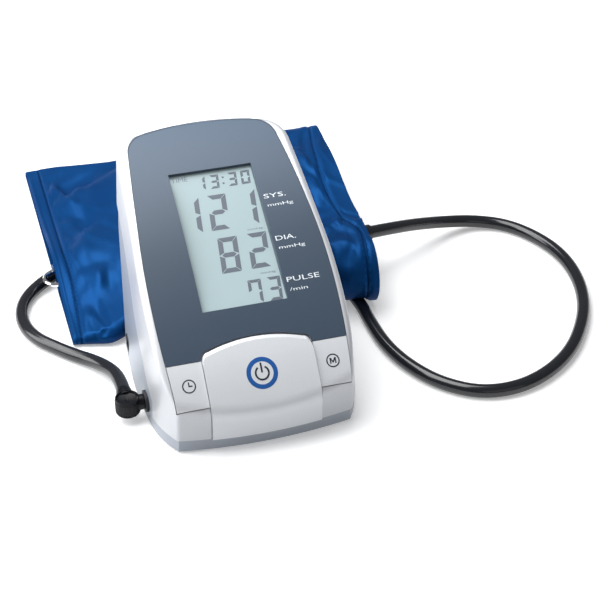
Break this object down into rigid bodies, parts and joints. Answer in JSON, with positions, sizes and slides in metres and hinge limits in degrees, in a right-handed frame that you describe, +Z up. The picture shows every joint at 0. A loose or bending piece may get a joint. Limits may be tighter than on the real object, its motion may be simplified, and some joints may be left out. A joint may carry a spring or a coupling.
{
  "type": "upper arm blood pressure monitor",
  "caption": "Desk blood pressure monitor with sloped display, power, clock and memory keys, wrap arm cuff and rubber air hose.",
  "frame": {"origin": "on the table, under the middle of the console's foot", "axes": "+X to the reader's right, +Y to the back of the console and the cuff behind it, +Z up"},
  "size_m": [0.3046, 0.2747, 0.1018],
  "materials": {
    "silver_shell": "satin metallic moulding",
    "silver_key": "satin metallic moulding",
    "grey_base": "fine matte texture",
    "slate_window": "satin slate blue",
    "display_glass": "reflective liquid crystal",
    "dark_frame": "matte black",
    "black_plastic": "satin black",
    "black_rubber": "smooth black rubber",
    "clear_tube": "milky silicone",
    "board": "green solder mask",
    "steel": "plated",
    "cell_jacket": "plain jacket",
    "blue_nylon": "woven nylon",
    "bright_chrome": "polished"
  },
  "bodies": {
    "root": {"upper_housing": "silver_shell", "lower_housing": "grey_base", "window_panel": "slate_window", "lcd_glass": "display_glass", "lcd_bezel": "dark_frame", "contact_strips": "black_rubber", "main_board": "board", "key_board": "board", "key_switches": "dark_frame", "buzzer": "dark_frame", "pressure_sensor": "dark_frame", "pump_motor": "steel", "pump_head": "dark_frame", "valve_body": "steel", "inner_air_tube": "clear_tube", "batteries": "cell_jacket", "battery_contacts": "steel", "housing_screws": "steel", "rubber_feet": "black_rubber", "air_socket": "dark_frame", "dc_jack": "dark_frame", "air_plug": "black_plastic", "plug_nozzle": "black_plastic", "air_hose": "black_rubber", "hose_collar": "black_rubber", "cuff_sleeve": "blue_nylon", "cuff_lining": "blue_nylon", "cuff_bladder": "black_rubber", "cuff_ring": "bright_chrome"},
    "power_key": {"power_key": "silver_key"},
    "clock_key": {"clock_key": "silver_key"},
    "memory_key": {"memory_key": "silver_key"},
    "battery_door": {"battery_door": "grey_base"},
    "pump_rotor": {"pump_crank": "steel"},
    "plunger": {"valve_plunger": "steel"}
  },
  "joints": [
    {"name": "power_key_rock", "type": "hinge", "parent": "root", "child": "power_key", "pos_m": [0, -0.04884, 0.011], "axis": [-1, 0, 0], "range_deg": [0, 1], "stiffness_Nm_per_rad": 0.8, "springref_deg": -1.15},
    {"name": "clock_key_press", "type": "slide", "parent": "root", "child": "clock_key", "axis": [0, 0.7023, -0.7119], "range_m": [0, 0.0006], "stiffness_N_per_m": 400, "springref_m": -0.0005},
    {"name": "memory_key_press", "type": "slide", "parent": "root", "child": "memory_key", "axis": [0, 0.7023, -0.7119], "range_m": [0, 0.0006], "stiffness_N_per_m": 400, "springref_m": -0.0005},
    {"name": "battery_door_slide", "type": "slide", "parent": "root", "child": "battery_door", "axis": [0, 1, 0], "range_m": [0, 0.006]},
    {"name": "pump_crank_turn", "type": "hinge", "parent": "root", "child": "pump_rotor", "pos_m": [0, 0.044, 0.04], "axis": [1, 0, 0], "continuous": true},
    {"name": "valve_plunger_slide", "type": "slide", "parent": "root", "child": "plunger", "axis": [-1, 0, 0], "range_m": [0, 0.0012], "stiffness_N_per_m": 150, "springref_m": -0.001}
  ]
}
